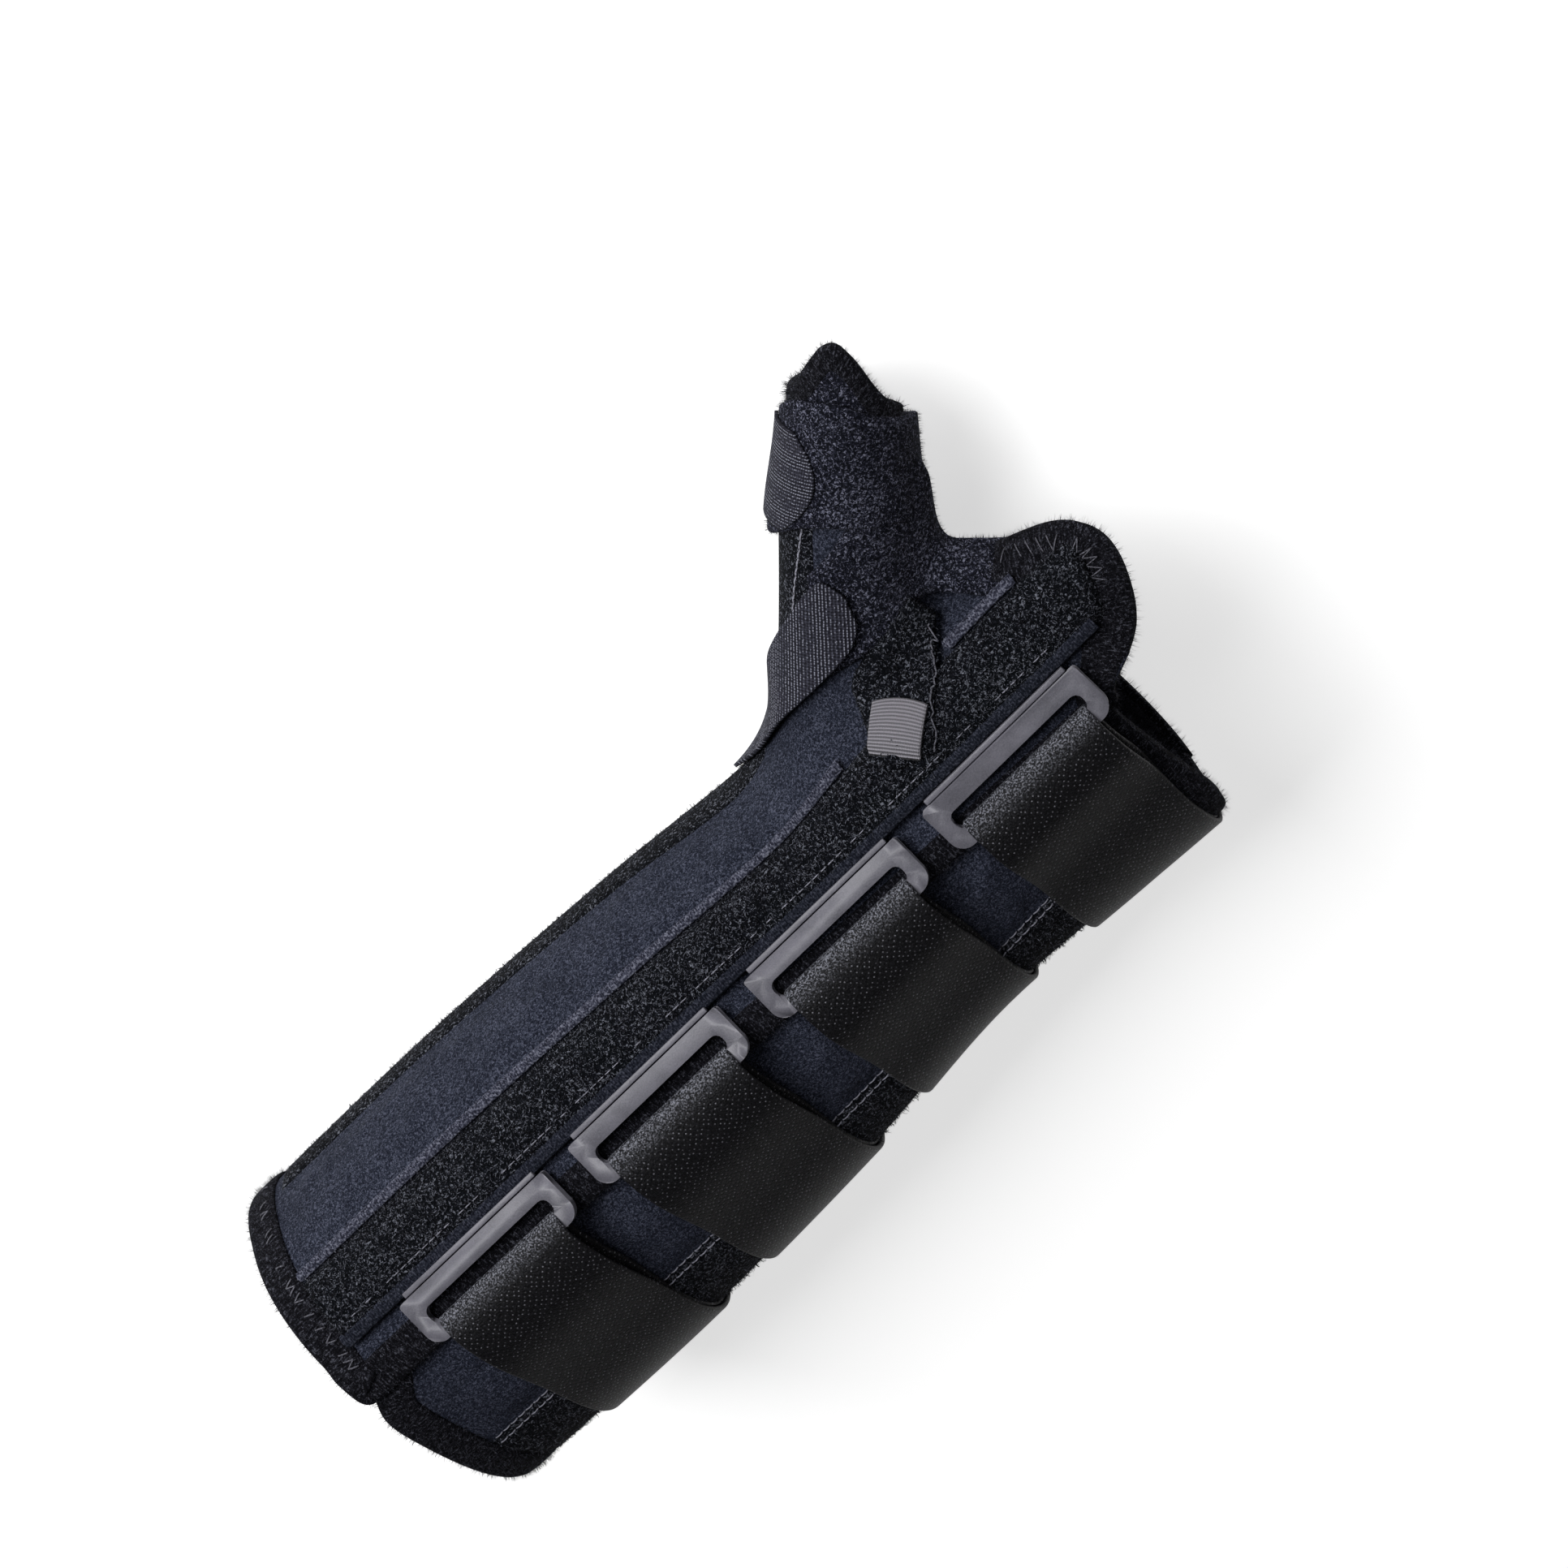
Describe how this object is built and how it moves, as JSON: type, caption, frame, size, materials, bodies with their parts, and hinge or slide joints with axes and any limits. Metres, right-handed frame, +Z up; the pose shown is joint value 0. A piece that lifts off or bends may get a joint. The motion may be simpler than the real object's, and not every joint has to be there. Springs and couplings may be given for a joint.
{
  "type": "thumb spica splint",
  "caption": "right-hand wrist and thumb splint: padded fabric shell with thumb gutter, raised stay panel, strap buckles in a row, hook-and-loop straps",
  "frame": {"origin": "centre of the bounding box, on the floor", "axes": "+X from the forearm to the hand, +Y to the thumb side, +Z up to the back of the hand, palm side down"},
  "size_m": [0.2672, 0.1626, 0.085],
  "materials": {
    "laminate": "matt brushed fabric, dark navy",
    "loop_pile": "curly loop pile, near black",
    "binding": "fuzzy edge binding, black",
    "strap": "plush strap, black",
    "buckle": "grained grey plastic",
    "webbing": "ribbed grey webbing",
    "hook_tab": "dark grey woven hook tape",
    "seam": "ribbed seam cord, grey blue"
  },
  "bodies": {
    "root": {"main_panel": "laminate", "ulnar_flap": "laminate", "dorsal_panel": "loop_pile", "thumb_patch": "loop_pile", "rim_binding": "binding", "edge_binding": "binding", "lobe_binding": "binding", "flap_rim_binding": "binding", "flap_end_binding": "binding", "outer_ridge": "seam", "inner_ridge": "seam", "buckle_1": "buckle", "buckle_2": "buckle", "buckle_3": "buckle", "buckle_4": "buckle", "strap_1": "strap", "strap_2": "strap", "strap_3": "strap", "strap_4": "strap", "thumb_strap": "strap", "web_strap": "strap", "thumb_hook_tab": "hook_tab", "web_hook_tab": "hook_tab", "pull_tab": "webbing"}
  },
  "joints": []
}
